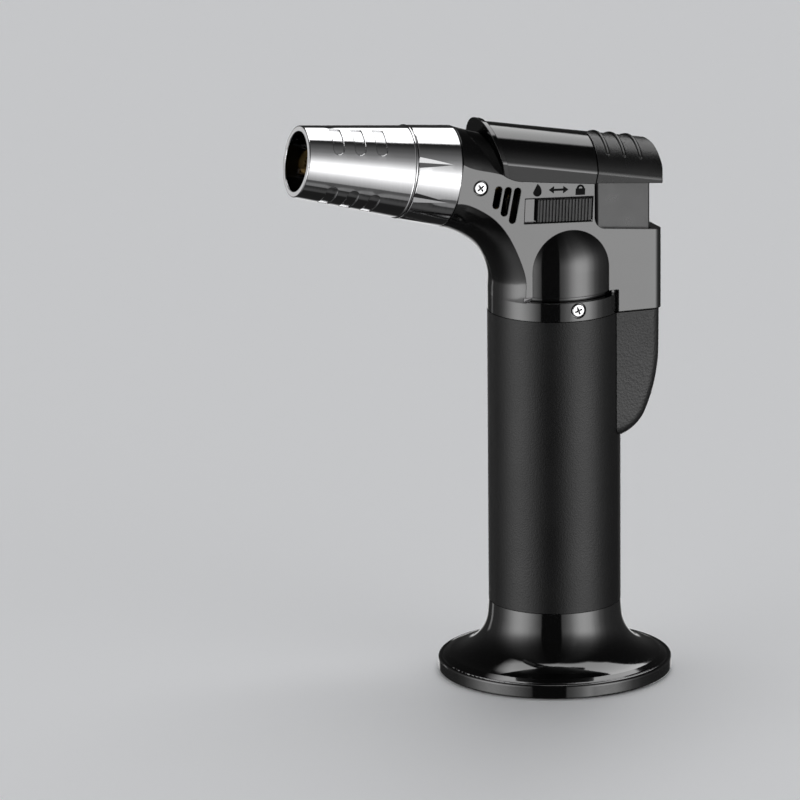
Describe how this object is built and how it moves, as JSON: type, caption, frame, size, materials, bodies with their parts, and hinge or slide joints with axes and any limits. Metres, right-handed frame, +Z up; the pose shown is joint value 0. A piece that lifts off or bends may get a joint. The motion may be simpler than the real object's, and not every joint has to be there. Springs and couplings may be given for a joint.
{
  "type": "butane torch",
  "caption": "Hand-held butane torch on a round foot, with a chrome flame tube, an air ring, a thumb trigger with piezo ignition and a lock slider.",
  "frame": {"origin": "centre of the foot's underside, on the handle's axis", "axes": "+Z up the handle, -X the way the flame leaves, +Y the torch's right-hand side"},
  "size_m": [0.105, 0.0626, 0.1541],
  "materials": {
    "gloss_black": "gloss",
    "satin_black": "satin",
    "grip_black": "fine texture",
    "tank_nylon": "satin",
    "chrome": "polished",
    "brass": "machined",
    "steel": "satin",
    "screw_steel": "bright plated",
    "rubber": "matt",
    "hose": "satin",
    "wick": "fibrous",
    "ceramic": "glazed",
    "piezo_case": "satin",
    "wire": "satin",
    "marks": "satin"
  },
  "bodies": {
    "torch": {"base_stand": "gloss_black", "grip_sleeve": "grip_black", "fuel_tank": "tank_nylon", "tank_lid": "tank_nylon", "fill_valve_body": "brass", "fill_valve_seal": "rubber", "fill_valve_spring": "steel", "fuel_wick": "wick", "outlet_valve_body": "brass", "outlet_valve_seal": "rubber", "outlet_valve_spring": "steel", "lever_bracket": "steel", "lever_pin": "steel", "burner_mount": "steel", "mixing_tube": "brass", "gas_jet": "brass", "gas_hose": "hose", "flame_holder": "brass", "electrode_insulator": "ceramic", "spark_electrode": "steel", "flame_tube": "chrome", "head_shell_left": "gloss_black", "head_shell_right": "gloss_black", "ring_screws": "screw_steel", "burner_screws": "screw_steel", "top_cover": "gloss_black", "rear_cover": "grip_black", "piezo_body": "piezo_case", "piezo_spring": "steel", "ignition_wire": "wire", "lock_marks": "marks"},
    "trigger": {"trigger_cap": "satin_black", "trigger_slider": "satin_black", "piezo_plunger": "satin_black"},
    "valve_lever": {"valve_lever": "steel"},
    "valve_stem": {"outlet_valve_stem": "brass"},
    "lock": {"lock_slider": "satin_black", "lock_clip": "steel"},
    "air_ring": {"air_ring": "chrome"},
    "fill_stem": {"fill_valve_stem": "brass"}
  },
  "joints": [
    {"name": "trigger_press", "type": "slide", "parent": "torch", "child": "trigger", "axis": [0, 0, -1], "range_m": [0, 0.005], "stiffness_N_per_m": 3000, "springref_m": -0.002, "deforming": ["piezo_spring"]},
    {"name": "lever_tilt", "type": "hinge", "parent": "torch", "child": "valve_lever", "pos_m": [0.0042, 0, 0.11], "axis": [0, 1, 0], "range_deg": [0, 32.2]},
    {"name": "outlet_stem_lift", "type": "slide", "parent": "torch", "child": "valve_stem", "axis": [0, 0, 1], "range_m": [0, 0.00232], "deforming": ["outlet_valve_spring"]},
    {"name": "lock_slide", "type": "slide", "parent": "torch", "child": "lock", "axis": [-0.9989, 0, 0.0471], "range_m": [0, 0.0024]},
    {"name": "air_ring_turn", "type": "hinge", "parent": "torch", "child": "air_ring", "pos_m": [-0.03096, 0, 0.13756], "axis": [-0.9847, 0, 0.1742], "range_deg": [0, 30]},
    {"name": "fill_stem_press", "type": "slide", "parent": "torch", "child": "fill_stem", "axis": [0, 0, 1], "range_m": [0, 0.0012], "stiffness_N_per_m": 800, "springref_m": -0.001, "deforming": ["fill_valve_spring"]}
  ],
  "couplings": [
    {"joint": "lever_tilt", "follows": "trigger_press", "rad_per_m": 112},
    {"joint": "outlet_stem_lift", "follows": "trigger_press", "ratio": 0.46}
  ]
}
